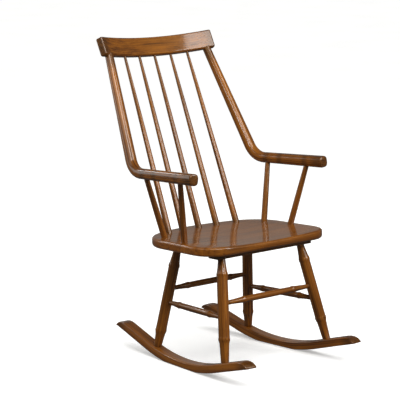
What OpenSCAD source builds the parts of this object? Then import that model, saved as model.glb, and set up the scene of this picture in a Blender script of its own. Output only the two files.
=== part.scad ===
// Spindle-back rocking chair in turned, carved and bent hardwood. Millimetres.
// It stands on the floor at z = 0 and faces -Y. The left side of someone sitting in it is +X.
// Every joint is a round tenon glued into a blind socket. Nothing moves: the whole chair rocks.

/* [Seat] */
// Width of the seat plank
seat_w = 551; // [530:1:570]
// Depth of the seat plank at the middle
seat_d = 420; // [405:1:435]
// Thickness of the seat plank
seat_t = 31; // [28:1:40]
// Height of the seat top over the rocking point
seat_h = 429; // [415:0.5:445]
// Slope of the seat down towards the back, in degrees
seat_tilt = 1.7; // [0:0.1:5]
// Distance of the front edge ahead of the rocking point
seat_front = 201; // [192:1:210]
// Radius of the front corners
front_corner_r = 91; // [60:1:110]
// Radius of the back corners
back_corner_r = 130; // [100:1:150]
// Turn of each side inwards towards the back, in degrees
seat_taper = 1.5; // [0:0.1:3]
// Radius of the long curve of the back edge
back_edge_r = 440; // [400:10:600]
// Rounding of the top edge
seat_top_round = 8; // [4:0.5:10]
// Rounding of the bottom edge
seat_low_round = 10; // [5:0.5:12]
// Depth of the scooped saddle
scoop_depth = 8.5; // [4:0.5:12]
// Width of the scooped saddle
scoop_w = 483; // [440:1:490]
// Distance of the deepest point ahead of the rocking point
scoop_centre = 26; // [10:1:50]
// Length of the saddle behind its deepest point, where it runs out over the back edge
scoop_back = 290; // [260:1:330]
// Length of the saddle ahead of its deepest point, where it runs out over the front edge
scoop_ahead = 290; // [260:1:330]

/* [Rockers] */
// Width of a rocker
rocker_w = 44; // [38:1:50]
// Thickness of a rocker
rocker_t = 28; // [24:1:34]
// Radius of the curve that rolls on the floor
rocker_r = 680; // [620:10:760]
// Half length of the curved middle, past which the ends run straight
rocker_curve = 190; // [160:1:215]
// Half length of the flat in the middle of the sole, on which the empty chair stands still
rocker_flat = 80; // [50:1:90]
// Radius that eases the flat of the sole into its curve
rocker_ease_r = 80; // [40:5:150]
// Length of a rocker ahead of the rocking point
rocker_ahead = 356; // [340:1:380]
// Length of a rocker behind the rocking point
rocker_behind = 363; // [340:1:390]
// Length of the rounded nose at each end
rocker_nose = 45; // [30:1:60]
// Distance between the middles of the two rockers at the rocking point
rocker_span = 438; // [420:1:460]
// Turn of each rocker, closer together at the back, in degrees
rocker_toe = 3.6; // [0:0.1:5]
// Rounding of the long edges of a rocker
rocker_round = 5; // [2:0.5:8]

/* [Legs] */
// Diameter of a leg at its ridges
leg_ridge_d = 38.5; // [34:0.5:44]
// Diameter of a leg between its ridges
leg_body_d = 37; // [32:0.5:42]
// Diameter of a leg at its foot tenon
leg_foot_d = 26.5; // [22:0.5:30]
// Diameter of a leg at its top tenon
leg_neck_d = 25; // [20:0.5:28]
// Distance of the front feet ahead of the rocking point, along the rocker
front_foot = 229.5; // [215:0.5:238]
// Distance of the back feet behind the rocking point, along the rocker
back_foot = 153; // [140:1:165]
// Inset of the front legs from the side of the seat
front_leg_side = 100; // [85:1:115]
// Inset of the front legs from the front edge of the seat
front_leg_edge = 63; // [58:1:72]
// Inset of the back legs from the side of the seat
back_leg_side = 119; // [105:1:130]
// Inset of the back legs from the back edge of the seat
back_leg_edge = 120; // [105:1:132]
// Height of the upper ridge above the foot, along the leg
upper_ridge = 287; // [270:1:300]
// Height of the lower ridge of a front leg above its foot
front_low_ridge = 74; // [55:1:90]
// Height of the lower ridge of a back leg above its foot
back_low_ridge = 55; // [45:1:80]
// Depth of the leg sockets in the rockers
foot_socket = 19; // [14:1:22]
// Depth of the leg sockets in the seat
leg_socket = 20; // [15:1:22]

/* [Stretchers] */
// Diameter of a stretcher at its ends
stretcher_end_d = 15; // [12:0.5:18]
// Diameter of a stretcher in the middle
stretcher_d = 21.5; // [18:0.5:26]
// Diameter of a stretcher at its beads
stretcher_bead_d = 23.5; // [19:0.5:28]
// Depth of the stretcher sockets in the legs
stretcher_socket = 15; // [10:1:17]
// Height of the front stretcher
front_stretcher_h = 244; // [235:1:265]
// Height of the back stretcher
back_stretcher_h = 239; // [230:1:260]
// Height of the side stretchers at the front legs
side_stretcher_front_h = 199; // [180:1:208]
// Height of the side stretchers at the back legs
side_stretcher_back_h = 194; // [175:1:206]

/* [Arm bows] */
// Height of the arm at the bend, to the middle of its thickness
arm_h = 638; // [620:1:665]
// Rise of the arm from the bend to its front end
arm_rise = 17; // [0:1:30]
// Length of the arm ahead of the bend
arm_len = 328; // [300:1:350]
// Distance of the bend behind the rocking point
arm_back = 188; // [175:1:205]
// Distance between the middles of the arms at the bend
arm_back_span = 552; // [530:1:575]
// Distance between the middles of the arms at their front ends
arm_front_span = 586; // [560:1:610]
// Radius of the steam-bent corner, to the middle of the bow
bow_bend_r = 70; // [55:1:100]
// Backward lean of the posts, in degrees
post_lean = 27.8; // [22:0.1:32]
// Diameter of a post where it meets the crest rail
post_top_d = 29; // [28.5:0.5:32]
// Thickness of the bow at the bend
bow_d = 36; // [32:0.5:40]
// Width of the arm at its front end
arm_w = 37; // [32:0.5:44]
// Height of the arm section at its front end
arm_t = 39.5; // [34:0.5:44]
// Diameter of the post tenons in the crest rail
post_tenon_d = 16; // [12:0.5:18]
// Length of the post tenons
post_tenon = 22; // [15:1:30]

/* [Crest rail] */
// Length of the crest rail, end to end
crest_len = 501; // [488:1:508]
// Height of the crest rail, along its face
crest_w = 66.5; // [56:0.5:78]
// Thickness of the crest rail
crest_t = 27; // [24:0.5:28]
// Height of the underside of the crest rail where the posts meet it
crest_h = 1010; // [960:1:1040]
// Backward lean of the crest rail, in degrees
crest_lean = 27; // [18:0.1:30]
// Radius of the curve of the crest rail, to the middle of its thickness
crest_r = 860; // [760:10:1100]
// Distance between the middles of the posts at the crest rail
crest_post_span = 442; // [432:1:446]
// Depth to which the posts are let into the underside of the crest rail
post_seat = 8; // [5:0.5:12]

/* [Spindles] */
// Spacing of the back spindles at the seat
back_spindle_pitch = 77; // [70:1:82]
// Spacing of the back spindles at the crest rail
back_spindle_top_pitch = 70.5; // [62:0.5:76]
// Inset of the back spindles from the back edge of the seat
back_spindle_inset = 44; // [38:1:50]
// Radius of the curved row in which the back spindles stand
back_row_r = 530; // [450:10:700]
// Diameter of a back spindle at the seat
back_spindle_d = 22.5; // [18:0.5:26]
// Diameter of a back spindle at the crest rail
back_spindle_tip_d = 9.5; // [8:0.5:13]
// Forward bow of the back spindles at mid height
back_spindle_bow = 2; // [0:0.5:12]
// Depth of the back spindle sockets in the crest rail
tip_socket = 18; // [12:1:24]
// Diameter of an arm spindle at the seat
arm_spindle_d = 21.5; // [18:0.5:24]
// Diameter of an arm spindle at the arm
arm_spindle_tip_d = 17.5; // [14:0.5:20]
// Inset of the back arm spindles from the side of the seat
arm_spindle_back_inset = 48; // [42:1:56]
// Inset of the front arm spindles from the side of the seat
arm_spindle_front_inset = 34; // [28:1:44]
// Distance of the back arm spindles behind the rocking point, at the seat
arm_spindle_back = 87; // [70:1:100]
// Distance of the front arm spindles ahead of the rocking point, at the seat
arm_spindle_front = 31; // [10:1:60]
// Distance of the back arm spindles behind the rocking point, at the arm
arm_spindle_back_top = 124; // [105:1:130]
// Distance of the front arm spindles ahead of the rocking point, at the arm
arm_spindle_front_top = 64; // [40:1:90]
// Depth of all spindle sockets in the seat and arms
spindle_socket = 18; // [14:1:20]

/* [Cleat] */
// Length of the cleat under the seat
cleat_len = 420; // [400:1:440]
// Width of the cleat
cleat_w = 50; // [44:1:60]
// Thickness of the cleat
cleat_t = 16; // [13:1:20]
// Inset of the cleat from the front edge of the seat
cleat_edge = 38; // [34:1:44]
// Rounding of the ends and edges of the cleat
cleat_round = 2; // [1:0.5:4]
// Diameter of the heads of the cleat screws
screw_head_d = 8; // [6:0.5:10]
// Diameter of the shanks of the cleat screws
screw_d = 4; // [3:0.5:5]
// Length of the cleat screws
screw_len = 32; // [26:1:38]
// Spacing of the cleat screws
screw_pitch = 120; // [90:5:125]

/* [Fits] */
// Gap all round a glued tenon
glue_gap = 0.15; // [0.05:0.05:0.3]
// Gap at the bottom of a socket
end_gap = 0.5; // [0.2:0.1:1]

/* [Hidden] */
$fn = 48;

LEFT = 1;
RIGHT = -1;

// Colours of the stained wood and of the steel
wood_colour = "#7a4a24";
seat_colour = "#6e4022";
rocker_colour = "#6b3d1f";
steel_colour = "#9a9a98";

// ---- Small helpers ----

function unit(v) = v / norm(v);
function mix(a, b, t) = a + (b - a) * t;
function mean(list) = [for (v = list) 1] * list / len(list);
function flip(v, side) = [v[0] * side, v[1], v[2]];

// Point of a Catmull-Rom curve between b and c
function curve_point(a, b, c, d, t) =
    0.5 * (2 * b + (c - a) * t + (2 * a - 5 * b + 4 * c - d) * t * t
        + (3 * b - a - 3 * c + d) * t * t * t);

// Smooth curve through all the stations, with some points between each pair
function smooth_curve(stations, between) = concat(
    [for (i = [0 : len(stations) - 2], k = [0 : between])
        curve_point(
            stations[max(i - 1, 0)], stations[i],
            stations[i + 1], stations[min(i + 2, len(stations) - 1)],
            k / (between + 1))],
    [stations[len(stations) - 1]]
);

// Closed skin over rings of equal length, each ring counter-clockwise seen from the last ring
module loft(rings) {
    n = len(rings[0]);
    last = len(rings) - 1;
    points = concat([for (ring = rings) each ring], [mean(rings[0])], [mean(rings[last])]);
    sides = [for (i = [0 : last - 1], k = [0 : n - 1]) each [
        [i * n + k, (i + 1) * n + k, (i + 1) * n + (k + 1) % n],
        [i * n + k, (i + 1) * n + (k + 1) % n, i * n + (k + 1) % n]
    ]];
    first_cap = [for (k = [0 : n - 1]) [k, (k + 1) % n, n * (last + 1)]];
    last_cap = [for (k = [0 : n - 1]) [last * n + (k + 1) % n, last * n + k, n * (last + 1) + 1]];
    polyhedron(points, concat(sides, first_cap, last_cap), convexity = 6);
}

// Rounded rectangle, counter-clockwise from the middle of the +X side
function rounded_rect(w, h, r, steps = 3) = [
    for (corner = [[1, 1, 0], [-1, 1, 90], [-1, -1, 180], [1, -1, 270]], k = [0 : steps])
        let (a = corner[2] + 90 * k / steps)
        [corner[0] * (w / 2 - r) + r * cos(a), corner[1] * (h / 2 - r) + r * sin(a)]
];

// Oval between an ellipse (power 2) and a rectangle (large power), counter-clockwise
function squircle(w, h, power, count) = [
    for (k = [0 : count - 1])
        let (c = cos(360 * k / count), s = sin(360 * k / count))
        [w / 2 * sign(c) * pow(abs(c), 2 / power), h / 2 * sign(s) * pow(abs(s), 2 / power)]
];

// Puts a flat outline at a place, along two directions
function placed(outline, origin, across, up) = [
    for (p = outline) origin + across * p[0] + up * p[1]
];

// Turns +Z to the direction from a to b and starts at a
module along(a, b) {
    d = b - a;
    translate(a)
        rotate([0, acos(d[2] / norm(d)), atan2(d[1], d[0])])
            children();
}

// Round socket that opens at mouth and runs to its depth along a direction
module socket(mouth, direction, depth, d) {
    start = mouth - unit(direction) * 2 * d;
    along(start, mouth)
        cylinder(d = d + 2 * glue_gap, h = 2 * d + depth);
}

// Turned piece: a profile of [distance along the axis, radius] stations, spun
module turned(stations) {
    last = len(stations) - 1;
    outline = concat([[0, stations[0][0]]], [for (s = stations) [s[1], s[0]]], [[0, stations[last][0]]]);
    rotate_extrude()
        polygon(outline);
}

// ---- Seat: places on the tilted plank ----

seat_back = seat_d - seat_front;
seat_side = seat_w / 2;

function on_seat(x, y, z = 0) = [
    x,
    y * cos(seat_tilt) + z * sin(seat_tilt),
    seat_h - y * sin(seat_tilt) + z * cos(seat_tilt)
];

// Y of the curved row of back spindles
function back_row_y(x) = seat_back - back_spindle_inset - back_row_r + sqrt(back_row_r * back_row_r - x * x);

// Depth of the saddle below the flat of the seat
function scoop(x, y) =
    let (ahead = y < -scoop_centre ? scoop_ahead : scoop_back)
    scoop_depth * max(0, 1 - pow(x / (scoop_w / 2), 2) - pow((y + scoop_centre) / ahead, 2));

// ---- Rockers: the rolling curve ----

rocker_end_angle = asin(rocker_curve / rocker_r);
rocker_ease_end = rocker_flat * rocker_r / (rocker_r - rocker_ease_r);
rocker_flat_rise = rocker_r - rocker_ease_r - sqrt(pow(rocker_r - rocker_ease_r, 2) - rocker_flat * rocker_flat);

function rocker_angle(s) = asin(max(-rocker_curve, min(rocker_curve, s)) / rocker_r);

// Height of the full curve of a rocker, before its sole is made flat in the middle
function rocker_arc(s) =
    let (a = min(abs(s), rocker_curve))
    rocker_r - sqrt(rocker_r * rocker_r - a * a) - rocker_flat_rise
        + (abs(s) - a) * tan(rocker_end_angle);

// Depth taken off the sole, square to the curve
function sole_cut(s) =
    let (
        a = abs(s),
        sole = a < rocker_flat ? 0
            : rocker_ease_r - sqrt(rocker_ease_r * rocker_ease_r - pow(a - rocker_flat, 2))
    )
    a < rocker_ease_end ? max(0, (sole - rocker_arc(s)) / cos(rocker_angle(s))) : 0;

// Point in a left rocker: distance along it from the rocking point, across it, and up from its full curve
function in_rocker(s, across, up) =
    let (tilt = rocker_angle(s), y = s - up * sin(tilt))
    [
        rocker_span / 2 + across * cos(rocker_toe) - y * sin(rocker_toe),
        y * cos(rocker_toe) + across * sin(rocker_toe),
        rocker_arc(s) + up * cos(tilt)
    ];

// ---- Where the legs stand and reach ----

front_foot_at = in_rocker(-front_foot, 0, rocker_t);
back_foot_at = in_rocker(back_foot, 0, rocker_t);
front_leg_top = on_seat(seat_side - front_leg_side, front_leg_edge - seat_front, -seat_t);
back_leg_top = on_seat(seat_side - back_leg_side, seat_back - back_leg_edge, -seat_t);
leg_ends = [[front_foot_at, front_leg_top], [back_foot_at, back_leg_top]];

// Point of a leg axis at a height above the floor
function leg_at(foot, top, h) = mix(foot, top, (h - foot[2]) / (top[2] - foot[2]));

front_stretcher_at = leg_at(front_foot_at, front_leg_top, front_stretcher_h);
back_stretcher_at = leg_at(back_foot_at, back_leg_top, back_stretcher_h);
side_stretcher_front_at = leg_at(front_foot_at, front_leg_top, side_stretcher_front_h);
side_stretcher_back_at = leg_at(back_foot_at, back_leg_top, side_stretcher_back_h);

// ---- Arm bows ----

bow_corner = [arm_back_span / 2, arm_back, arm_h];
bow_front = [arm_front_span / 2, arm_back - arm_len, arm_h + arm_rise];
bow_top = [crest_post_span / 2, arm_back + (crest_h - arm_h) * tan(post_lean), crest_h];

bow_up = unit(bow_top - bow_corner);
bow_ahead = unit(bow_front - bow_corner);
bow_side = unit(cross(bow_up, bow_ahead));
bow_half_angle = acos(bow_up * bow_ahead) / 2;
bow_turn = 180 - 2 * bow_half_angle;
bow_cut = bow_bend_r / tan(bow_half_angle);
bow_bend_centre = bow_corner + unit(bow_up + bow_ahead) * bow_bend_r / sin(bow_half_angle);

// Point of the arm centre line at a distance ahead (+) of the rocking point
function arm_at(y) = mix(bow_corner, bow_front, (arm_back - y) / arm_len);

// ---- Crest rail: a leaned arc ----

crest_up = [0, sin(crest_lean), cos(crest_lean)];
crest_out = [0, cos(crest_lean), -sin(crest_lean)];
crest_post_angle = asin(crest_post_span / 2 / crest_r);
crest_end_angle = asin(crest_len / 2 / crest_r);
crest_centre = [0, bow_top[1], bow_top[2]] - crest_out * crest_r * cos(crest_post_angle);

// Point of the crest rail: angle along its curve, distance out from the middle of its thickness,
// and height above its underside
function in_crest(angle, out, up) =
    crest_centre + [(crest_r + out) * sin(angle), 0, 0]
        + crest_out * (crest_r + out) * cos(angle) + crest_up * up;

crest_low_round = crest_t * 0.3;
crest_top_round = crest_t * 0.18;

// ---- Spindles ----

function back_spindle_foot(i) =
    let (x = i * back_spindle_pitch)
    on_top([x, back_row_y(x)]);

function back_spindle_tip(i) =
    in_crest(asin(i * back_spindle_top_pitch / crest_r), 0, 0);

// Foot and tip of the left arm spindles, front then back
arm_spindle_ends = [
    [on_seat(seat_side - arm_spindle_front_inset, -arm_spindle_front), arm_at(-arm_spindle_front_top)],
    [on_seat(seat_side - arm_spindle_back_inset, arm_spindle_back), arm_at(arm_spindle_back_top)]
];

// ---- Origin: below the middle of the overall length ----

front_reach = -in_rocker(-rocker_ahead, -rocker_w / 2, 0)[1];
back_reach = in_crest(0, crest_t / 2 - crest_top_round, crest_w - crest_top_round)[1] + crest_top_round;
mid_y = (back_reach - front_reach) / 2;

module in_place() {
    translate([0, -mid_y, 0])
        children();
}

// ---- Crest rail ----

// Section of the crest rail in its own plane, smaller by an inset
function crest_section(inset) =
    let (
        w = crest_t - 2 * inset,
        h = crest_w - 2 * inset,
        low = max(crest_low_round - inset, 0.5),
        top = max(crest_top_round - inset, 0.5),
        corners = [[1, 1, 0, top], [-1, 1, 90, top], [-1, -1, 180, low], [1, -1, 270, low]]
    )
    [for (c = corners, k = [0 : 4])
        let (a = c[2] + 22.5 * k)
        [
            c[0] * (w / 2 - c[3]) + c[3] * cos(a),
            crest_w / 2 + c[1] * (h / 2 - c[3]) + c[3] * sin(a)
        ]];

crest_end_round = 5;
crest_steps = 22;

function crest_ring(angle, inset) = [for (p = crest_section(inset)) in_crest(angle, p[0], p[1])];

module crest_blank() {
    // Quarter-round at each end, as pairs of [angle, inset]
    end = [for (k = [0 : 3])
        let (a = 30 * k)
        [
            crest_end_angle - (crest_end_round * (1 - sin(a))) / crest_r * 180 / PI,
            crest_end_round * (1 - cos(a))
        ]];
    inner = end[0][0];
    stations = concat(
        [for (k = [3 : -1 : 0]) [-end[k][0], end[k][1]]],
        [for (k = [1 : crest_steps - 1]) [mix(-inner, inner, k / crest_steps), 0]],
        end
    );
    loft([for (s = stations) crest_ring(s[0], s[1])]);
}

module crest_rail() {
    color(wood_colour)
        in_place()
            difference() {
                crest_blank();
                for (side = [LEFT, RIGHT]) {
                    foot = flip(bow_top, side);
                    up = flip(bow_up, side);
                    socket(foot, up, post_seat, post_top_d);
                    socket(foot, up, post_seat + post_tenon, post_tenon_d);
                }
                for (i = [-2 : 2])
                    socket(back_spindle_tip(i), spindle_direction(i, 1), tip_socket, back_spindle_tip_d);
            }
}

// ---- Arm bows ----

bow_sides = 20;
bow_bend_steps = 10;
arm_end_round = 6;
arm_front_squareness = 3;
bow_squareness = 2.5;

// In-plane directions of the bend: out from its centre to the corner, and on towards the arm
bow_out = -unit(bow_up + bow_ahead);
bow_on = unit(bow_ahead - bow_up);

// Ring of the bow at a place, square to a direction, with its width, thickness and squareness
function bow_ring(place, direction, w, t, squareness) =
    placed(squircle(w, t, squareness, bow_sides), place, bow_side, cross(direction, bow_side));

// From the end of the tenon, over its shoulder in the crest rail, down the post
function post_rings() =
    let (
        run = norm(bow_top - bow_corner) - bow_cut,
        shoulder = post_seat - end_gap,
        tenon_end = shoulder + post_tenon
    )
    concat(
        [for (p = [[tenon_end, post_tenon_d], [shoulder, post_tenon_d], [shoulder, post_top_d]])
            bow_ring(bow_top + bow_up * p[0], -bow_up, p[1], p[1], 2)],
        [for (t = [0, 0.25, 0.5, 0.75])
            let (d = mix(post_top_d, bow_d, t))
            bow_ring(bow_top - bow_up * run * t, -bow_up, d, d, mix(2, bow_squareness, t))]
    );

function bend_rings() = [
    for (k = [0 : bow_bend_steps])
        let (
            a = bow_turn * (k / bow_bend_steps - 0.5),
            n = bow_out * cos(a) + bow_on * sin(a),
            direction = bow_on * cos(a) - bow_out * sin(a)
        )
        bow_ring(bow_bend_centre + n * bow_bend_r, direction, bow_d, bow_d, bow_squareness)
];

function arm_rings() =
    let (
        start = bow_corner + bow_ahead * bow_cut,
        run = norm(bow_front - start) - arm_end_round
    )
    [for (t = [0.25, 0.5, 0.75])
        bow_ring(
            start + bow_ahead * run * t, bow_ahead,
            mix(bow_d, arm_w, t), mix(bow_d, arm_t, t), mix(bow_squareness, arm_front_squareness, t))];

function arm_end_rings() = [
    for (a = [0, 30, 60, 90])
        let (inset = 2 * arm_end_round * (1 - cos(a)))
        bow_ring(
            bow_front - bow_ahead * arm_end_round * (1 - sin(a)), bow_ahead,
            arm_w - inset, arm_t - inset, arm_front_squareness)
];

// Where the axis of an arm spindle passes the underside of the arm
function arm_mouth(foot, tip) = tip - (tip - foot) * (arm_t / 2 - 1) / (tip[2] - foot[2]);

module arm_bow() {
    difference() {
        loft(concat(post_rings(), bend_rings(), arm_rings(), arm_end_rings()));
        for (ends = arm_spindle_ends)
            socket(arm_mouth(ends[0], ends[1]), ends[1] - ends[0], spindle_socket, arm_spindle_tip_d);
    }
}

module arm_bow_left() {
    color(wood_colour)
        in_place()
            arm_bow();
}

module arm_bow_right() {
    color(wood_colour)
        in_place()
            mirror([1, 0, 0])
                arm_bow();
}

// ---- Back spindles ----

spindle_sides = 16;

// Direction of a back spindle at its foot (end = -1) and at its tip (end = 1)
function spindle_direction(i, end) =
    unit(back_spindle_tip(i) - back_spindle_foot(i) + [0, end * PI * back_spindle_bow, 0]);

// Point and diameter of a back spindle, at a share of its length from the seat
function spindle_point(i, t) =
    mix(back_spindle_foot(i), back_spindle_tip(i), t) - [0, back_spindle_bow * sin(180 * t), 0];

function spindle_d(t) = mix(back_spindle_d, back_spindle_tip_d, 0.8 * t + 0.2 * t * t * t);

function spindle_ring(place, direction, d) =
    let (across = unit(cross(direction, [0, -1, 0])))
    placed(squircle(d, d, 2, spindle_sides), place, across, cross(direction, across));

module back_spindle(i) {
    foot_direction = spindle_direction(i, -1);
    tip_direction = spindle_direction(i, 1);
    foot_end = spindle_point(i, 0) - foot_direction * (spindle_socket - end_gap);
    tip_end = spindle_point(i, 1) + tip_direction * (tip_socket - end_gap);
    middle = [for (k = [0 : 10])
        let (
            t = k / 10,
            direction = unit(mix(foot_direction, tip_direction, t))
        )
        spindle_ring(spindle_point(i, t), direction, spindle_d(t))];
    color(wood_colour)
        in_place()
            loft(concat(
                [spindle_ring(foot_end, foot_direction, back_spindle_d)],
                middle,
                [spindle_ring(tip_end, tip_direction, back_spindle_tip_d)]
            ));
}

module back_spindle_1() { back_spindle(-2); }
module back_spindle_2() { back_spindle(-1); }
module back_spindle_3() { back_spindle(0); }
module back_spindle_4() { back_spindle(1); }
module back_spindle_5() { back_spindle(2); }

// ---- Arm spindles ----

module arm_spindle(ends, side) {
    foot = ends[0];
    tip = ends[1];
    mouth = arm_mouth(foot, tip);
    length = norm(mouth - foot);
    foot_r = arm_spindle_d / 2;
    tip_r = arm_spindle_tip_d / 2;
    stations = concat(
        [[-spindle_socket + end_gap, foot_r]],
        smooth_curve([[0, foot_r], [0.5 * length, mix(foot_r, tip_r, 0.35)], [length, tip_r]], 3),
        [[length + spindle_socket - end_gap, tip_r]]
    );
    color(wood_colour)
        in_place()
            along(flip(foot, side), flip(tip, side))
                turned(stations);
}

module arm_spindle_left_front() { arm_spindle(arm_spindle_ends[0], LEFT); }
module arm_spindle_left_back() { arm_spindle(arm_spindle_ends[1], LEFT); }
module arm_spindle_right_front() { arm_spindle(arm_spindle_ends[0], RIGHT); }
module arm_spindle_right_back() { arm_spindle(arm_spindle_ends[1], RIGHT); }

// ---- Seat ----

// Right-hand half of the seat outline, from the front middle round to the back middle
function half_outline(inset) =
    let (
        back_centre = [0, seat_back - back_edge_r],
        back_corner_x = seat_side - back_corner_r,
        back_corner = [
            back_corner_x,
            back_centre[1] + sqrt(pow(back_edge_r - back_corner_r, 2) - back_corner_x * back_corner_x)
        ],
        back_angle = atan2(back_corner[1] - back_centre[1], back_corner_x),
        front_corner = [seat_side - front_corner_r, front_corner_r - seat_front],
        straight = concat(
            [for (k = [0 : 3]) [front_corner[0] * k / 4, inset - seat_front]],
            [for (k = [0 : 7])
                let (a = 90 * k / 7)
                front_corner + (front_corner_r - inset) * [sin(a), -cos(a)]],
            [for (k = [1 : 4]) [seat_side - inset, mix(front_corner[1], back_corner[1], k / 5)]],
            [for (k = [0 : 7])
                let (a = back_angle * k / 7)
                back_corner + (back_corner_r - inset) * [cos(a), sin(a)]],
            [for (k = [1 : 5])
                let (a = mix(back_angle, 90, k / 5))
                back_centre + (back_edge_r - inset) * [cos(a), sin(a)]]
        )
    )
    [for (p = straight) [p[0] * (1 - p[1] * tan(seat_taper) / seat_side), p[1]]];

// Whole outline, counter-clockwise from above
function seat_outline(inset) =
    let (half = half_outline(inset), n = len(half))
    concat(half, [for (k = [n - 2 : -1 : 1]) [-half[k][0], half[k][1]]]);

// How far out a place lies: 1 on the ridge where the saddle begins
function scoop_reach(p) =
    norm([p[0] / (scoop_w / 2), (p[1] + scoop_centre) / (p[1] < -scoop_centre ? scoop_ahead : scoop_back)]);

function on_top(p, z = 0) = on_seat(p[0], p[1], z - scoop(p[0], p[1]));

// The plank's own frame: z = 0 on its top, y = 0 over the rocking point
module on_plank() {
    translate([0, 0, seat_h])
        rotate([-seat_tilt, 0, 0])
            children();
}

// Blank of the seat. The skin runs on below the underside, which is then cut flat.
module seat_plank() {
    middle = [0, -scoop_centre];
    rim = seat_outline(seat_top_round);
    ridge = [for (p = rim) middle + (p - middle) / max(scoop_reach(p), 1.03)];
    low_rings = [for (a = [-30, 30, 60, 90])
        [for (p = seat_outline(seat_low_round * (1 - sin(a))))
            on_seat(p[0], p[1], sign(a) * seat_low_round * (1 - cos(a)) - seat_t)]];
    high_rings = [for (a = [0, 30, 60, 90])
        [for (p = seat_outline(seat_top_round * (1 - cos(a))))
            on_top(p, seat_top_round * (sin(a) - 1))]];
    margin_rings = [for (t = [0.5, 1])
        [for (k = [0 : len(rim) - 1]) on_top(mix(rim[k], ridge[k], t))]];
    saddle_rings = [for (t = [0.94, 0.86, 0.74, 0.58, 0.38, 0.18])
        [for (p = ridge) on_top(middle + (p - middle) * t)]];
    difference() {
        loft(concat(low_rings, high_rings, margin_rings, saddle_rings));
        on_plank()
            translate([-seat_w, -seat_d, -seat_t - seat_low_round])
                cube([2 * seat_w, 2 * seat_d, seat_low_round]);
    }
}

module seat() {
    color(seat_colour)
        in_place()
            difference() {
                seat_plank();
                for (i = [-2 : 2])
                    socket(back_spindle_foot(i), -spindle_direction(i, -1), spindle_socket, back_spindle_d);
                for (side = [LEFT, RIGHT], ends = arm_spindle_ends)
                    socket(flip(ends[0], side), flip(ends[0] - ends[1], side), spindle_socket, arm_spindle_d);
                for (side = [LEFT, RIGHT], leg = leg_ends)
                    socket(flip(leg[1], side), flip(leg[1] - leg[0], side), leg_socket, leg_neck_d);
                cleat_screw_holes();
            }
}

// ---- Cleat under the seat ----

cleat_front = cleat_edge - seat_front;
cleat_middle = cleat_front + cleat_w / 2;

module at_cleat_screws() {
    on_plank()
        for (x = [-screw_pitch, 0, screw_pitch])
            translate([x, cleat_middle, -seat_t - cleat_t])
                children();
}

module cleat_screw_holes() {
    at_cleat_screws()
        translate([0, 0, -end_gap])
            cylinder(d = screw_d + 2 * glue_gap, h = screw_len + 2 * end_gap);
}

module front_cleat() {
    color(seat_colour)
        in_place()
            difference() {
                on_plank()
                    translate([-cleat_len / 2, cleat_middle, -seat_t - cleat_t / 2])
                        rotate([90, 0, 90])
                            linear_extrude(height = cleat_len)
                                polygon(rounded_rect(cleat_w, cleat_t, cleat_round));
                for (side = [LEFT, RIGHT])
                    socket(
                        flip(front_leg_top, side), flip(front_leg_top - front_foot_at, side),
                        cleat_t, leg_neck_d);
                cleat_screw_holes();
                at_cleat_screws()
                    translate([0, 0, -end_gap])
                        cylinder(
                            d1 = screw_head_d + 2 * (end_gap + glue_gap), d2 = screw_d + 2 * glue_gap,
                            h = (screw_head_d - screw_d) / 2 + end_gap);
            }
}

module cleat_screws() {
    head_h = (screw_head_d - screw_d) / 2;
    color(steel_colour)
        in_place()
            at_cleat_screws() {
                cylinder(d1 = screw_head_d, d2 = screw_d, h = head_h);
                cylinder(d = screw_d, h = screw_len - screw_d);
                translate([0, 0, screw_len - screw_d])
                    cylinder(d1 = screw_d, d2 = screw_d / 4, h = screw_d);
            }
}

// ---- Legs ----

// Stations of a leg up its axis, from its foot at 0 to the underside of the seat at length
function leg_stations(length, low_ridge) =
    let (
        foot_r = leg_foot_d / 2,
        body_r = leg_body_d / 2,
        ridge_r = leg_ridge_d / 2,
        neck_r = leg_neck_d / 2,
        neck = length - cleat_t - 4
    )
    concat(
        [[end_gap - foot_socket, foot_r]],
        smooth_curve([
            [0, foot_r],
            [low_ridge * 0.4, mix(foot_r, body_r, 0.25)],
            [low_ridge - 14, mix(foot_r, body_r, 0.55)],
            [low_ridge - 6, mix(body_r, ridge_r, -0.8)],
            [low_ridge, ridge_r],
            [low_ridge + 6, mix(body_r, ridge_r, 0.8)],
            [low_ridge + 16, body_r - 0.2],
            [mix(low_ridge, upper_ridge, 0.5), body_r],
            [upper_ridge - 14, body_r - 0.4],
            [upper_ridge - 6, mix(body_r, ridge_r, 0.7)],
            [upper_ridge, ridge_r],
            [upper_ridge + 6, mix(body_r, ridge_r, -1)],
            [upper_ridge + 14, mix(neck_r, body_r, 0.62)],
            [mix(upper_ridge + 14, neck, 0.5), mix(neck_r, body_r, 0.24)],
            [neck, neck_r]
        ], 2),
        [[length + leg_socket - end_gap, neck_r]]
    );

// Socket in a leg for a stretcher that runs from one axis point to another
module stretcher_socket_at(from, to) {
    direction = unit(from - to);
    socket(from - direction * leg_body_d / 2, direction, stretcher_socket, stretcher_end_d);
}

// A left leg; its cross stretcher goes over to the right, its side stretcher to the other left leg
module leg(ends, low_ridge, cross_at, side_from, side_to) {
    color(wood_colour)
        in_place()
            difference() {
                along(ends[0], ends[1])
                    turned(leg_stations(norm(ends[1] - ends[0]), low_ridge));
                stretcher_socket_at(cross_at, flip(cross_at, RIGHT));
                stretcher_socket_at(side_from, side_to);
            }
}

module leg_front_left() {
    leg(leg_ends[0], front_low_ridge, front_stretcher_at, side_stretcher_front_at, side_stretcher_back_at);
}

module leg_back_left() {
    leg(leg_ends[1], back_low_ridge, back_stretcher_at, side_stretcher_back_at, side_stretcher_front_at);
}

module leg_front_right() {
    mirror([1, 0, 0])
        leg_front_left();
}

module leg_back_right() {
    mirror([1, 0, 0])
        leg_back_left();
}

// ---- Stretchers ----

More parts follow.
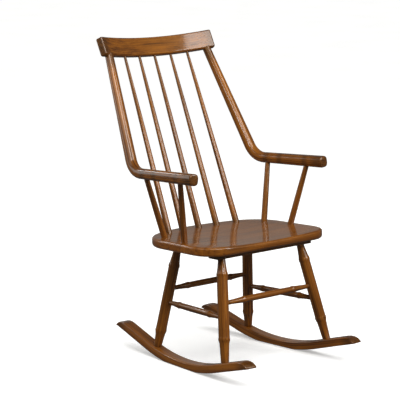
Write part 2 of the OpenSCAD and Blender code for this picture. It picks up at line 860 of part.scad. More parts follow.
// A stretcher between the axes of two legs
module stretcher(from, to) {
    direction = unit(to - from);
    mouth = from + direction * leg_body_d / 2;
    length = norm(to - from) - leg_body_d;
    end_r = stretcher_end_d / 2;
    mid_r = stretcher_d / 2;
    bead_r = stretcher_bead_d / 2;
    bead = 0.2 * length;
    half = [
        [0, end_r],
        [bead * 0.45, mix(end_r, mid_r, 0.3)],
        [bead - 10, mix(end_r, mid_r, 0.85)],
        [bead, bead_r],
        [bead + 9, mid_r - 0.5],
        [0.34 * length, mid_r - 0.1]
    ];
    stations = concat(
        [[end_gap - stretcher_socket, end_r]],
        smooth_curve(concat(
            half,
            [[0.5 * length, mid_r]],
            [for (k = [len(half) - 1 : -1 : 0]) [length - half[k][0], half[k][1]]]
        ), 2),
        [[length + stretcher_socket - end_gap, end_r]]
    );
    color(wood_colour)
        in_place()
            along(mouth, to)
                turned(stations);
}

module stretcher_front() { stretcher(front_stretcher_at, flip(front_stretcher_at, RIGHT)); }
module stretcher_back() { stretcher(back_stretcher_at, flip(back_stretcher_at, RIGHT)); }
module stretcher_left() { stretcher(side_stretcher_front_at, side_stretcher_back_at); }
module stretcher_right() {
    stretcher(flip(side_stretcher_front_at, RIGHT), flip(side_stretcher_back_at, RIGHT));
}

// ---- Rockers ----

flat_steps = 6;
ease_steps = 2;
curve_steps = 7;
nose_steps = 5;
nose_angle = 78;

// Thickness left at a share of the way along the nose
function nose_t(share) = rocker_t * sqrt(1 - share * share);

// Stations of the nose at one end, as [distance from the rocking point, thickness]
function nose_stations(reach) =
    let (start = reach - rocker_nose)
    [for (k = [0 : nose_steps])
        let (share = sin(nose_angle * k / nose_steps))
        [start + rocker_nose * share / sin(nose_angle), nose_t(share)]];

function rocker_ring(s, t) =
    let (cut = sole_cut(s), h = t - cut, r = min(rocker_round, h / 2 - 0.2))
    [for (p = rounded_rect(rocker_w, h, r)) in_rocker(s, p[0], p[1] + cut + h / 2)];

module rocker_blank() {
    back_nose = nose_stations(rocker_behind);
    front_nose = nose_stations(rocker_ahead);
    half = concat(
        [for (k = [curve_steps : -1 : 1]) mix(rocker_ease_end, rocker_curve, k / curve_steps)],
        [for (k = [ease_steps : -1 : 1]) mix(rocker_flat, rocker_ease_end, k / ease_steps)]
    );
    curve_places = concat(
        half,
        [for (k = [0 : flat_steps]) rocker_flat * (1 - 2 * k / flat_steps)],
        [for (k = [len(half) - 1 : -1 : 0]) -half[k]]
    );
    stations = concat(
        [for (k = [nose_steps : -1 : 0]) back_nose[k]],
        [for (s = curve_places) [s, rocker_t]],
        [for (n = front_nose) [-n[0], n[1]]]
    );
    loft([for (s = stations) rocker_ring(s[0], s[1])]);
}

module rocker_left() {
    color(rocker_colour)
        in_place()
            difference() {
                rocker_blank();
                for (leg = leg_ends)
                    socket(leg[0], leg[0] - leg[1], foot_socket, leg_foot_d);
            }
}

module rocker_right() {
    mirror([1, 0, 0])
        rocker_left();
}

// ---- The chair ----

crest_rail();
arm_bow_left();
arm_bow_right();
back_spindle_1();
back_spindle_2();
back_spindle_3();
back_spindle_4();
back_spindle_5();
arm_spindle_left_front();
arm_spindle_left_back();
arm_spindle_right_front();
arm_spindle_right_back();
seat();
front_cleat();
cleat_screws();
leg_front_left();
leg_front_right();
leg_back_left();
leg_back_right();
stretcher_front();
stretcher_back();
stretcher_left();
stretcher_right();
rocker_left();
rocker_right();
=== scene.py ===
"""Spindle-back rocking chair: stained and lacquered wood on a pale studio floor. Metres, +Z up, facing -Y."""

import math
import random
from typing import NamedTuple

import bpy
import numpy as np
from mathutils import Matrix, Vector


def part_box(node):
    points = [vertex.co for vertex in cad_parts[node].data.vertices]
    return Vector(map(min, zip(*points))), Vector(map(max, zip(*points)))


bl_info = {
    "name": "Rocking Chair Finish",
    "version": (1, 0, 0),
    "blender": (4, 5, 0),
    "location": "3D View > Sidebar > Rocking Chair",
    "description": "Stains and lacquers a spindle-back rocking chair and sets it in a plain studio",
    "category": "Object",
}

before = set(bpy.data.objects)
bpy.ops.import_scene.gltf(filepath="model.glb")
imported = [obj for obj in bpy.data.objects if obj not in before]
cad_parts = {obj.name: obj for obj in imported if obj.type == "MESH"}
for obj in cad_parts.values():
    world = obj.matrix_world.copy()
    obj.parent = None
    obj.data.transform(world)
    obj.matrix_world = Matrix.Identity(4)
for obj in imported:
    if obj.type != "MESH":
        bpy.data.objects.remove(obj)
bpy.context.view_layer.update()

BOWS = ["arm_bow_left", "arm_bow_right"]
BACK_SPINDLES = ["back_spindle_%d" % i for i in range(1, 6)]
ARM_SPINDLES = ["arm_spindle_%s_%s" % (side, end) for side in ("left", "right") for end in ("front", "back")]
LEGS = ["leg_%s_%s" % (end, side) for end in ("front", "back") for side in ("left", "right")]
STRETCHERS = ["stretcher_%s" % place for place in ("front", "back", "left", "right")]
ROCKERS = ["rocker_left", "rocker_right"]

# Line along the middle of the left bow: top of the post, corner of the bend, front end of the arm
BOW_LINE = [(0.221, 0.337, 1.010), (0.276, 0.141, 0.638), (0.293, -0.187, 0.655)]
BOW_BEND_RADIUS = 0.070
# Shares of that line where dark bands are painted: painted shade for the spindles' shadows and dark
# reflections, at the two arm spindles and once between them
BOW_PAINTED_SHADE_PLACES = (0.646, 0.735, 0.895)

# The seat's line runs on past its ends, so that they get none of the darker end tone (stain soaking into end
# grain, and painted shade) and stay like its top
SEAT_PAST_ENDS = 0.10

# Angle between faces, in degrees, from which an edge stays sharp: on sawn and on turned pieces
SAWN_EDGE, TURNED_EDGE = 38.0, 50.0
WELD_DISTANCE = 0.00002

# A line is straight if the cross product of its two ends' directions is shorter than this
STRAIGHT = 1e-4
# A straight piece's grain is measured across at right angles to it and to the first of these directions,
# or to the second one if the piece is steeper than this
LEANING_UP, LEANING_ASIDE = (0.31, 0.17, 0.93), (0.9, 0.4, 0.1)
STEEP = 0.8
# How far the wood may reach past the ends of its line
BEYOND = 1.0

# What chance settles for each piece: where its grain starts, how far it lies from the pith, and its tone
GRAIN_START = (-9.0, 9.0)
PITH_DISTANCE = (0.035, 0.07)
OWN_TONE = (0.88, 1.12)

# Each wood pattern's stretch along, across and through the grain
WANDER = (2.2, 16.0, 16.0)
RINGS = (0.10, 1.0, 1.0)
BANDS = (1.3, 95.0, 95.0)
STREAKS = (0.7, 80.0, 80.0)
FIBRES = (9.0, 520.0, 520.0)
PORES = (45.0, 1500.0, 1500.0)
BLOTCHES = (6.0, 24.0, 24.0)

# Scale of the ring pattern that gives one ring to the metre
ONE_RING_A_METRE = 0.314

# How much each pattern sways the figure between dark and pale grain, and how much the streaks darken it
RING_SWAY, BAND_SWAY, FIBRE_SWAY, WANDER_SWAY = 0.34, 1.5, 0.8, 0.6
STREAK_DEPTH = 0.40

# The tone in the stain's blotches, at a piece's ends (stain that soaks into the end grain, and painted shade
# where pieces meet) and in the painted shade bands of the bows
BLOTCH_TONE = (0.84, 1.14)
END_STAIN_AND_SHADE_TONE = 0.44
PAINTED_SHADE_TONE = 0.52
# Shares of a piece's length: where the darker ends begin and are darkest, and the same for a painted shade
# band
END_FROM, END_TO = 0.82, 0.95
PAINTED_SHADE_FROM, PAINTED_SHADE_TO = 0.004, 0.026


class SoftBox(NamedTuple):
    """Place, target and size of a soft box, the only pieces it lights, and whether the lacquer mirrors it."""

    place: tuple
    target: tuple
    width: float
    height: float
    tint: tuple = (1.0, 1.0, 1.0)
    only: tuple = ()
    mirrored: bool = True


SOFT_BOXES = {
    "key": SoftBox((-1.25, -1.50, 3.15), (0.0, 0.25, 0.9), 1.5, 0.8),
    "front": SoftBox((0.92, -1.82, 2.00), (0.1, 0.3, 0.95), 0.75, 2.0),
    "fill": SoftBox((-0.60, -2.30, 2.20), (0.0, 0.0, 0.5), 1.2, 0.6),
    "side": SoftBox(
        (-1.85, -1.05, 1.60), (0.2, 0.2, 0.8), 0.6, 0.5, only=("crest_rail", *BOWS, *BACK_SPINDLES)
    ),
    "low": SoftBox((-2.40, -0.60, 0.75), (-0.2, 0.0, 0.3), 1.0, 0.7, only=("seat", *ROCKERS), mirrored=False),
    "end": SoftBox((-2.00, 2.30, 0.60), (-0.27, 0.35, 1.03), 0.9, 0.9, only=("crest_rail",)),
    "arris": SoftBox((-0.80, 2.20, 2.00), (-0.25, 0.0, 0.3), 0.5, 0.3),
    "far": SoftBox((2.60, 0.90, 1.35), (0.0, 0.1, 0.65), 1.8, 1.5, mirrored=False),
    "wall": SoftBox((-2.15, 0.40, 2.10), (0.0, 0.2, 0.9), 1.6, 1.2),
    "rim": SoftBox((-1.40, 1.88, 1.15), (-0.25, 0.25, 0.9), 0.95, 0.8),
    "back": SoftBox((0.60, 3.00, 1.00), (0.0, 0.0, 0.6), 5.0, 2.0, tint=(1.0, 0.90, 0.78)),
}
FLOOR_LIGHT_SPREAD = 70.0


# ---- Sizes and colours ----


def colour(name, description, default):
    return bpy.props.FloatVectorProperty(
        name=name, description=description, default=default, size=3, min=0.0, max=1.0, subtype="COLOR"
    )


def share(name, description, default):
    return bpy.props.FloatProperty(
        name=name, description=description, default=default, min=0.0, max=1.0, subtype="FACTOR"
    )


def distance(name, description, default, low=0.0, high=100.0):
    return bpy.props.FloatProperty(
        name=name, description=description, default=default, min=low, max=high, unit="LENGTH"
    )


def angle(name, description, degrees):
    return bpy.props.FloatProperty(
        name=name, description=description, default=math.radians(degrees), subtype="ANGLE", unit="ROTATION"
    )


def brightness(name, description, default):
    return bpy.props.FloatProperty(name=name, description=description, default=default, min=0.0)


class ChairStain(bpy.types.PropertyGroup):
    """Colours of the stain and the look of the lacquer."""

    pale: colour("Pale grain", "Stain over the soft early wood", (0.38, 0.126, 0.0090))
    middle: colour("Middle grain", "Stain over most of the wood", (0.235, 0.069, 0.0040))
    dark: colour("Dark grain", "Stain in the late wood", (0.078, 0.0195, 0.0014))
    pore: colour("Pores", "Stain that has settled in the open pores", (0.045, 0.012, 0.0020))
    lacquer: share("Lacquer", "How much of a clear coat lies over the stain", 1.0)
    lacquer_roughness: share("Lacquer roughness", "Roughness of the clear coat", 0.10)
    wood_roughness: share("Wood roughness", "Roughness under the clear coat", 0.42)
    ring: distance("Ring spacing", "Spacing of the growth rings", 0.0065, 0.001, 0.05)


class ChairStudio(bpy.types.PropertyGroup):
    """Floor, lights and camera."""

    floor: colour("Floor", "Colour of the floor", (0.86, 0.86, 0.85))
    floor_size: distance("Floor size", "Length of each side of the floor", 90.0, 10.0, 200.0)
    floor_glow: share("Floor glow", "How white the floor stays where little light falls", 0.45)
    floor_lamp: brightness("Floor light", "Strength of the soft light on the floor", 2.3)
    key: brightness("Key light", "Brightness of the broad soft box above the chair's right front", 7.5)
    front: brightness("Front light", "Brightness of the tall soft box in front, to the chair's left", 6.0)
    fill: brightness("Fill light", "Brightness of the soft box in front, to the chair's right", 8.0)
    side: brightness("Side light", "Brightness of the narrow soft box at the chair's right", 10.0)
    low: brightness("Low light", "Brightness of the soft box beside the seat and the rockers", 7.0)
    end: brightness("End card", "Brightness of the card mirrored in the crest rail's end", 1.6)
    arris: brightness("Arris light", "Brightness of the small soft box above and behind", 8.5)
    far: brightness("Far light", "Brightness of the broad soft box at the chair's left", 1.1)
    wall: brightness("Wall card", "Brightness of the card at the chair's right", 1.2)
    rim: brightness("Rim light", "Brightness of the soft box behind the chair's right", 1.6)
    back: brightness("Back card", "Brightness of the broad dim card behind the chair", 0.17)
    surround: share("Surround", "Brightness of the dark room", 0.08)
    camera_place: bpy.props.FloatVectorProperty(
        name="Camera", description="Place of the camera", default=(-3.8157, -4.2437, 1.5415),
        subtype="XYZ", unit="LENGTH",
    )
    camera_turn: angle("Camera turn", "Turn of the camera away from the chair's front", 41.16)
    camera_dip: angle("Camera dip", "How far the camera looks down", 10.03)
    lens: bpy.props.FloatProperty(
        name="Lens", description="Focal length", default=153.82, min=10.0, unit="CAMERA"
    )


# ---- Grain: where each point lies along, across and through its piece ----


def points_of(piece):
    co = np.empty(len(piece.data.vertices) * 3)
    piece.data.vertices.foreach_get("co", co)
    return co.reshape(-1, 3)


def straight_line(piece):
    """The two ends of the middle line of a straight piece."""
    co = points_of(piece)
    centre = (co.min(axis=0) + co.max(axis=0)) / 2
    axis = np.linalg.svd(co - co.mean(axis=0), full_matrices=False)[2][0]
    along = (co - centre) @ axis
    return [centre + axis * along.min(), centre + axis * along.max()]


def curved_line(piece, count=40, degree=4):
    """Middle line of a piece that curves gently in one plane."""
    co = points_of(piece)
    centre = co.mean(axis=0)
    axes = np.linalg.svd(co - centre, full_matrices=False)[2]
    along, up = (co - centre) @ axes[0], (co - centre) @ axes[1]
    curve = np.polyfit(along, up, degree)
    places = np.linspace(along.min(), along.max(), count)
    return [centre + axes[0] * a + axes[1] * np.polyval(curve, a) for a in places]


def bent_line(corners, radius, steps=12):
    """Straight, one bend, straight."""
    start, corner, end = [np.array(p, float) for p in corners]
    to_start = (start - corner) / np.linalg.norm(start - corner)
    to_end = (end - corner) / np.linalg.norm(end - corner)
    half = math.acos(float(to_start @ to_end)) / 2
    middle = (to_start + to_end) / np.linalg.norm(to_start + to_end)
    centre = corner + middle * radius / math.sin(half)
    on = (to_end - to_start) / np.linalg.norm(to_end - to_start)
    turns = np.linspace(half - math.pi / 2, math.pi / 2 - half, steps)
    return [start] + [centre + radius * (on * math.sin(t) - middle * math.cos(t)) for t in turns] + [end]


def lay_grain(piece, line, seed):
    """Stores each point's place in the grain, its share of the piece's length, and the piece's own tone."""
    chance = random.Random(seed)
    co = points_of(piece)
    line = np.array(line, float)
    starts, steps = line[:-1], line[1:] - line[:-1]
    lengths = np.linalg.norm(steps, axis=1)
    before = np.concatenate([[0.0], np.cumsum(lengths)])
    ways = steps / lengths[:, None]
    side = np.cross(ways[0], ways[-1])
    if np.linalg.norm(side) < STRAIGHT:
        side = np.cross(ways[0], LEANING_UP if abs(ways[0][2]) < STEEP else LEANING_ASIDE)
    side /= np.linalg.norm(side)
    offset = co[:, None, :] - starts[None]
    run = np.einsum("pkj,kj->pk", offset, ways)
    low, high = np.zeros(len(lengths)), lengths.copy()
    low[0] -= BEYOND
    high[-1] += BEYOND
    run = np.clip(run, low, high)
    apart = offset - run[..., None] * ways[None]
    nearest = np.argmin(np.linalg.norm(apart, axis=2), axis=1)
    index = np.arange(len(co))
    along = before[nearest] + run[index, nearest]
    out = apart[index, nearest]
    through = np.cross(ways[nearest], side)
    turn = chance.uniform(0.0, math.tau)
    pith = np.array([math.cos(turn), math.sin(turn)]) * chance.uniform(*PITH_DISTANCE)
    grain = np.stack([
        along + chance.uniform(*GRAIN_START),
        out @ side + pith[0],
        np.einsum("pj,pj->p", out, through) + pith[1],
    ], axis=1)
    facts = np.zeros_like(grain)
    facts[:, 0] = along / before[-1]
    facts[:, 1] = chance.uniform(*OWN_TONE)
    for name, values in (("grain", grain), ("piece", facts)):
        layer = piece.data.attributes.new(name, "FLOAT_VECTOR", "POINT")
        layer.data.foreach_set("vector", values.astype(np.float32).ravel())


def smooth(piece, edge=SAWN_EDGE):
    """Rounds the shading of a CAD node, and leaves its real corners sharp."""
    piece.data.polygons.foreach_set("use_smooth", [True] * len(piece.data.polygons))
    weld = piece.modifiers.new("join the facets", "WELD")
    weld.merge_threshold = WELD_DISTANCE
    split = piece.modifiers.new("keep the corners", "EDGE_SPLIT")
    split.split_angle = math.radians(edge)
    weighted = piece.modifiers.new("flat faces stay flat", "WEIGHTED_NORMAL")
    weighted.keep_sharp = True
    weighted.weight = 60


# ---- Materials ----


class Nodes:
    """Adds nodes to a material and links them."""

    def __init__(self, name):
        self.material = bpy.data.materials.new(name)
        self.material.use_nodes = True
        self.tree = self.material.node_tree
        self.tree.nodes.clear()
        self.column = 0

    def add(self, kind, inputs=None, **settings):
        node = self.tree.nodes.new(kind)
        node.location = (self.column * 190 - 1800, -(self.column % 4) * 160)
        self.column += 1
        for key, value in settings.items():
            setattr(node, key, value)
        for key, value in (inputs or {}).items():
            if isinstance(value, bpy.types.NodeSocket):
                self.tree.links.new(value, node.inputs[key])
            else:
                node.inputs[key].default_value = value
        return node

    def attribute(self, name):
        return self.add("ShaderNodeAttribute", attribute_name=name).outputs["Vector"]

    def stretched(self, vector, scale):
        return self.add("ShaderNodeMapping", {"Vector": vector, "Scale": scale}).outputs["Vector"]

    def noise(self, vector, scale, detail=4.0, roughness=0.55, distortion=0.0):
        node = self.add(
            "ShaderNodeTexNoise",
            {
                "Vector": vector, "Scale": scale, "Detail": detail,
                "Roughness": roughness, "Distortion": distortion,
            },
        )
        return node.outputs["Fac"]

    def maths(self, operation, a, b=0.0, c=0.0):
        return self.add("ShaderNodeMath", {0: a, 1: b, 2: c}, operation=operation).outputs[0]

    def span(self, value, low, high, to_low=0.0, to_high=1.0):
        node = self.add(
            "ShaderNodeMapRange",
            {"Value": value, "From Min": low, "From Max": high, "To Min": to_low, "To Max": to_high},
            interpolation_type="SMOOTHSTEP",
        )
        return node.outputs["Result"]

    def ramp(self, value, stops):
        node = self.add("ShaderNodeValToRGB", {"Fac": value})
        band = node.color_ramp
        while len(band.elements) < len(stops):
            band.elements.new(0.5)
        for element, (place, shade) in zip(band.elements, stops):
            element.position = place
            element.color = (*shade, 1.0)
        return node.outputs["Color"]

    def mix(self, factor, a, b, blend="MIX"):
        node = self.add("ShaderNodeMix", {"Factor": factor}, data_type="RGBA", blend_type=blend)
        for socket, value in ((node.inputs[6], a), (node.inputs[7], b)):
            if isinstance(value, bpy.types.NodeSocket):
                self.tree.links.new(value, socket)
            else:
                socket.default_value = (*value, 1.0)
        return node.outputs[2]

    def surface(self, **inputs):
        node = self.add("ShaderNodeBsdfPrincipled", {k.replace("_", " "): v for k, v in inputs.items()})
        out = self.add("ShaderNodeOutputMaterial")
        self.tree.links.new(node.outputs["BSDF"], out.inputs["Surface"])
        return self.material


def wood_figure(n, grain, stain, fibres, ring_scale, reach):
    """Colour of the stain over the rings, bands, fibres and dark streaks."""
    wander = n.noise(n.stretched(grain, WANDER), 1.0, 3.0)
    rings = n.add(
        "ShaderNodeTexWave",
        {
            "Vector": n.stretched(grain, RINGS),
            "Scale": ONE_RING_A_METRE / (stain.ring * ring_scale),
            "Distortion": 5.5,
            "Detail": 2.0,
            "Detail Scale": 0.35,
            "Detail Roughness": 0.5,
        },
        wave_type="RINGS", rings_direction="X", wave_profile="SAW",
    ).outputs["Fac"]
    bands = n.noise(n.stretched(grain, BANDS), 1.0, 5.0, 0.6, 0.6)
    figure = n.maths("MULTIPLY_ADD", rings, RING_SWAY * reach, 0.5 - RING_SWAY / 2 * reach)
    for pattern, sway in ((bands, BAND_SWAY * reach), (fibres, FIBRE_SWAY), (wander, WANDER_SWAY)):
        figure = n.maths("MULTIPLY_ADD", n.maths("SUBTRACT", pattern, 0.5), sway, figure)
    between = [(m + p) / 2 for m, p in zip(stain.middle, stain.pale)]
    shade = n.ramp(figure, [(0.14, stain.dark), (0.42, stain.middle), (0.62, between), (0.86, stain.pale)])
    streaks = n.noise(n.stretched(grain, STREAKS), 1.0, 3.0, 0.55, 0.4)
    return n.mix(n.span(streaks, 0.56, 0.68, 0.0, STREAK_DEPTH * reach), shade, stain.dark)


def stain_tone(n, blotches, tone, painted_shade_places):
    """Tone of the stain: blotchy and by piece, darker at the piece's ends (stain that soaks into the end
    grain, and painted shade where pieces meet), and darker in its painted shade bands.
    """
    piece = n.add("ShaderNodeSeparateXYZ", {"Vector": n.attribute("piece")}).outputs
    to_end = n.maths("MULTIPLY", n.maths("ABSOLUTE", n.maths("SUBTRACT", piece["X"], 0.5)), 2.0)
    # Darker ends: partly stain that soaks into the end grain, partly painted shade where the pieces meet
    soaked_and_shaded = n.span(to_end, END_FROM, END_TO, 1.0, END_STAIN_AND_SHADE_TONE)
    # Painted shade: dark bands on the bows where the spindles' shadows and dark reflections fall
    for place in painted_shade_places:
        away = n.maths("ABSOLUTE", n.maths("SUBTRACT", piece["X"], place))
        painted_band = n.span(away, PAINTED_SHADE_FROM, PAINTED_SHADE_TO, PAINTED_SHADE_TONE, 1.0)
        soaked_and_shaded = n.maths("MULTIPLY", soaked_and_shaded, painted_band)
    low, high = BLOTCH_TONE
    blotchy = n.span(blotches, 0.25, 0.75, low * tone, high * tone)
    whole = n.maths("MULTIPLY", n.maths("MULTIPLY", blotchy, piece["Y"]), soaked_and_shaded)
    return n.add("ShaderNodeCombineXYZ", {"X": whole, "Y": whole, "Z": whole}).outputs["Vector"]


def stained_wood(name, stain, tone=1.0, ring_scale=1.0, reach=1.0, painted_shade_places=()):
    """Stained, lacquered hardwood whose rings, fibres and pores follow the piece."""
    n = Nodes(name)
    grain = n.attribute("grain")
    fibres = n.noise(n.stretched(grain, FIBRES), 1.0, 4.0, 0.65)
    open_pores = n.span(n.noise(n.stretched(grain, PORES), 1.0, 2.0, 0.5), 0.60, 0.70)
    blotches = n.noise(n.stretched(grain, BLOTCHES), 1.0, 3.0)

    shade = wood_figure(n, grain, stain, fibres, ring_scale, reach)
    shade = n.mix(n.maths("MULTIPLY", open_pores, 0.55), shade, stain.pore)
    shade = n.mix(1.0, shade, stain_tone(n, blotches, tone, painted_shade_places), "MULTIPLY")

    rough = n.span(fibres, 0.3, 0.7, stain.wood_roughness - 0.05, stain.wood_roughness + 0.06)
    rough = n.maths("MULTIPLY_ADD", open_pores, 0.16, rough)
    height = n.maths("MULTIPLY_ADD", open_pores, -0.8, n.maths("MULTIPLY", fibres, 0.35))
    height = n.maths("MULTIPLY_ADD", blotches, 1.2, height)
    bump = n.add("ShaderNodeBump", {"Height": height, "Strength": 0.30, "Distance": 0.0006}).outputs["Normal"]
    return n.surface(
        Base_Color=shade, Roughness=rough, Normal=bump, IOR=1.5, Specular_IOR_Level=0.8,
        Specular_Tint=(1.0, 0.60, 0.27, 1.0),
        Coat_Weight=stain.lacquer, Coat_Roughness=stain.lacquer_roughness, Coat_IOR=1.5,
    )


def dull_zinc(name):
    """Zinc-plated steel with faint turning marks and a few duller patches."""
    n = Nodes(name)
    place = n.add("ShaderNodeTexCoord").outputs["Object"]
    cloud = n.noise(n.stretched(place, (260.0, 260.0, 260.0)), 1.0, 4.0)
    marks = n.noise(n.stretched(place, (3000.0, 3000.0, 90.0)), 1.0, 2.0)
    shade = n.ramp(cloud, [(0.3, (0.36, 0.35, 0.33)), (0.7, (0.62, 0.61, 0.58))])
    rough = n.span(n.maths("MULTIPLY_ADD", marks, 0.4, n.maths("MULTIPLY", cloud, 0.6)), 0.3, 0.7, 0.30, 0.52)
    bump = n.add("ShaderNodeBump", {"Height": marks, "Strength": 0.2, "Distance": 0.0001}).outputs["Normal"]
    return n.surface(Base_Color=shade, Metallic=1.0, Roughness=rough, Normal=bump)


def floor_paint(name, tint, glow):
    """Pale, even studio floor."""
    n = Nodes(name)
    place = n.add("ShaderNodeTexCoord").outputs["Object"]
    cloud = n.noise(place, 1.7, 3.0)
    shade = n.ramp(cloud, [(0.3, [c * 0.985 for c in tint]), (0.7, tint)])
    rough = n.span(cloud, 0.3, 0.7, 0.55, 0.62)
    return n.surface(Base_Color=shade, Roughness=rough, Emission_Color=shade, Emission_Strength=glow)


def pieces(names):
    """The CAD nodes of these names."""
    return [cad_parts[name] for name in names]


def finish(names, material, line_of=straight_line, edge=SAWN_EDGE):
    """Lays the grain on CAD nodes, smooths their shading and gives them a material."""
    for name, piece in zip(names, pieces(names)):
        lay_grain(piece, line_of(piece), name)
        smooth(piece, edge)
        piece.data.materials.clear()
        piece.data.materials.append(material)


# ---- Operators ----


class CHAIR_OT_crest_rail(bpy.types.Operator):
    """Finish the curved crest rail"""

    bl_idname = "chair.crest_rail"
    bl_label = "Crest Rail"

    def execute(self, context):
        wood = stained_wood("crest_wood", context.scene.chair_stain, tone=0.90, ring_scale=1.3, reach=1.1)
        finish(["crest_rail"], wood, curved_line)
        return {"FINISHED"}


class CHAIR_OT_arm_bows(bpy.types.Operator):
    """Finish the bent arm-and-post bows"""

    bl_idname = "chair.arm_bows"
    bl_label = "Arm Bows"

    def execute(self, context):
        stain = context.scene.chair_stain
        # The bows' dark bands are painted shade for the spindles' shadows and reflections
        wood = stained_wood("bow_wood", stain, tone=0.90, reach=1.4, painted_shade_places=BOW_PAINTED_SHADE_PLACES)
        for name, side in zip(BOWS, (1, -1)):
            line = bent_line([(x * side, y, z) for x, y, z in BOW_LINE], BOW_BEND_RADIUS)
            finish([name], wood, lambda piece: line)
        return {"FINISHED"}


class CHAIR_OT_back_spindles(bpy.types.Operator):
    """Finish the long spindles of the back"""

    bl_idname = "chair.back_spindles"
    bl_label = "Back Spindles"

    def execute(self, context):
        wood = stained_wood("spindle_wood", context.scene.chair_stain, tone=0.92, ring_scale=0.8)
        finish(BACK_SPINDLES, wood, edge=TURNED_EDGE)
        return {"FINISHED"}


class CHAIR_OT_arm_spindles(bpy.types.Operator):
    """Finish the short spindles under the arms"""

    bl_idname = "chair.arm_spindles"
    bl_label = "Arm Spindles"

    def execute(self, context):
        wood = stained_wood("arm_spindle_wood", context.scene.chair_stain, ring_scale=0.8)
        finish(ARM_SPINDLES, wood, edge=TURNED_EDGE)
        return {"FINISHED"}


class CHAIR_OT_seat(bpy.types.Operator):
    """Finish the saddled seat"""

    bl_idname = "chair.seat"
    bl_label = "Seat"

    def execute(self, context):
        low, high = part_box("seat")
        middle = [(a + b) / 2 for a, b in zip(low, high)]
        line = [(x, middle[1], middle[2]) for x in (low[0] - SEAT_PAST_ENDS, high[0] + SEAT_PAST_ENDS)]
        wood = stained_wood("seat_wood", context.scene.chair_stain, tone=0.92, ring_scale=2.2, reach=0.6)
        finish(["seat"], wood, lambda piece: line)
        return {"FINISHED"}


class CHAIR_OT_cleat(bpy.types.Operator):
    """Finish the cleat under the seat and its screws"""

    bl_idname = "chair.cleat"
    bl_label = "Cleat and Screws"

    def execute(self, context):
        wood = stained_wood("cleat_wood", context.scene.chair_stain, tone=0.75)
        finish(["front_cleat"], wood)
        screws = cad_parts["cleat_screws"]
        smooth(screws)
        screws.data.materials.clear()
        screws.data.materials.append(dull_zinc("screw_zinc"))
        return {"FINISHED"}


class CHAIR_OT_legs(bpy.types.Operator):
    """Finish the turned legs"""

    bl_idname = "chair.legs"
    bl_label = "Legs"

    def execute(self, context):
        wood = stained_wood("leg_wood", context.scene.chair_stain, tone=1.17)
        finish(LEGS, wood, edge=TURNED_EDGE)
        return {"FINISHED"}


class CHAIR_OT_stretchers(bpy.types.Operator):
    """Finish the turned stretchers"""

    bl_idname = "chair.stretchers"
    bl_label = "Stretchers"

    def execute(self, context):
        wood = stained_wood("stretcher_wood", context.scene.chair_stain, ring_scale=0.8)
        finish(STRETCHERS, wood, edge=TURNED_EDGE)
        return {"FINISHED"}


class CHAIR_OT_rockers(bpy.types.Operator):
    """Finish the rockers"""

    bl_idname = "chair.rockers"
    bl_label = "Rockers"

    def execute(self, context):
        wood = stained_wood("rocker_wood", context.scene.chair_stain, tone=0.94)
        finish(ROCKERS, wood, curved_line)
        return {"FINISHED"}


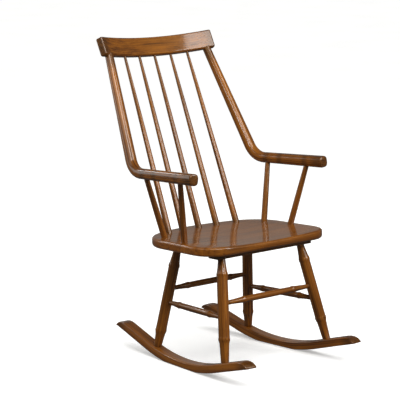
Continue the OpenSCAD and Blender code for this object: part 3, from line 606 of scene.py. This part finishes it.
class CHAIR_OT_studio(bpy.types.Operator):
    """Set up the floor, the soft lights, the room and the camera"""

    bl_idname = "chair.studio"
    bl_label = "Studio"

    def execute(self, context):
        studio = context.scene.chair_studio
        bpy.ops.object.select_all(action="DESELECT")
        bpy.ops.mesh.primitive_plane_add(size=studio.floor_size, location=(0.0, 0.0, 0.0))
        floor = context.object
        floor.name = "studio_floor"
        floor.data.materials.append(floor_paint("floor_paint", studio.floor, studio.floor_glow))
        floor.visible_diffuse = floor.visible_glossy = False
        for name, box in SOFT_BOXES.items():
            self.soft_box(name + "_light", box, getattr(studio, name))
        self.floor_light(floor, studio.floor_lamp)
        self.room(context, studio)
        self.camera(context, studio)
        context.scene.view_settings.view_transform = "Standard"
        return {"FINISHED"}

    def room(self, context, studio):
        """A dim room whose walls look white to the camera."""
        world = bpy.data.worlds.new("studio_room")
        world.use_nodes = True
        room = world.node_tree
        seen = room.nodes.new("ShaderNodeLightPath").outputs["Is Camera Ray"]
        bright = room.nodes.new("ShaderNodeMapRange")
        bright.inputs["To Min"].default_value = studio.surround
        bright.inputs["To Max"].default_value = 1.0
        room.links.new(seen, bright.inputs["Value"])
        room.links.new(bright.outputs["Result"], room.nodes["Background"].inputs["Strength"])
        room.nodes["Background"].inputs["Color"].default_value = (1.0, 1.0, 1.0, 1.0)
        context.scene.world = world

    def floor_light(self, floor, strength):
        """A broad light from straight above that falls only on the floor."""
        data = bpy.data.lights.new("floor_light", "SUN")
        data.energy = strength
        data.angle = math.radians(FLOOR_LIGHT_SPREAD)
        light = bpy.data.objects.new("floor_light", data)
        bpy.context.scene.collection.objects.link(light)
        self.light_only(light, [floor])

    def soft_box(self, name, box, strength):
        """An evenly bright rectangle that the camera can't see."""
        data = bpy.data.lights.new(name, "AREA")
        data.shape = "RECTANGLE"
        data.size = box.width
        data.size_y = box.height
        data.energy = strength * math.pi * box.width * box.height
        data.color = box.tint
        light = bpy.data.objects.new(name, data)
        light.location = box.place
        light.rotation_euler = (Vector(box.target) - Vector(box.place)).to_track_quat("-Z", "Y").to_euler()
        light.visible_camera = False
        light.visible_glossy = box.mirrored
        bpy.context.scene.collection.objects.link(light)
        if box.only:
            self.light_only(light, pieces(box.only))

    def light_only(self, light, receivers):
        """Shields everything but the receivers from a light, as a flag in front of it would."""
        lit = bpy.data.collections.new("lit_by_" + light.name)
        for piece in receivers:
            lit.objects.link(piece)
        light.light_linking.receiver_collection = lit

    def camera(self, context, studio):
        """A level camera that looks a little down on the chair's right front."""
        data = bpy.data.cameras.new("studio_camera")
        data.lens = studio.lens
        data.sensor_width = 36.0
        data.sensor_fit = "HORIZONTAL"
        data.clip_end = 300.0
        camera = bpy.data.objects.new("studio_camera", data)
        camera.location = studio.camera_place
        camera.rotation_euler = (math.pi / 2 - studio.camera_dip, 0.0, -studio.camera_turn)
        context.scene.collection.objects.link(camera)
        context.scene.camera = camera


class CHAIR_PT_panel(bpy.types.Panel):
    """Lists the pieces and their finish"""

    bl_idname = "CHAIR_PT_panel"
    bl_label = "Rocking Chair"
    bl_space_type = "VIEW_3D"
    bl_region_type = "UI"
    bl_category = "Rocking Chair"

    def draw(self, context):
        for operator in OPERATORS:
            self.layout.operator(operator.bl_idname)
        for group in (context.scene.chair_stain, context.scene.chair_studio):
            box = self.layout.box()
            for name in group.__annotations__:
                box.prop(group, name)


OPERATORS = [
    CHAIR_OT_crest_rail, CHAIR_OT_arm_bows, CHAIR_OT_back_spindles, CHAIR_OT_arm_spindles, CHAIR_OT_seat,
    CHAIR_OT_cleat, CHAIR_OT_legs, CHAIR_OT_stretchers, CHAIR_OT_rockers, CHAIR_OT_studio,
]
CLASSES = [ChairStain, ChairStudio, *OPERATORS, CHAIR_PT_panel]


def register():
    for cls in CLASSES:
        bpy.utils.register_class(cls)
    bpy.types.Scene.chair_stain = bpy.props.PointerProperty(type=ChairStain)
    bpy.types.Scene.chair_studio = bpy.props.PointerProperty(type=ChairStudio)


def unregister():
    del bpy.types.Scene.chair_studio
    del bpy.types.Scene.chair_stain
    for cls in reversed(CLASSES):
        bpy.utils.unregister_class(cls)


def main():
    register()
    for operator in OPERATORS:
        group, name = operator.bl_idname.split(".")
        if getattr(getattr(bpy.ops, group), name)() != {"FINISHED"}:
            raise RuntimeError(operator.bl_label + " was not finished")


if __name__ == "__main__":
    main()
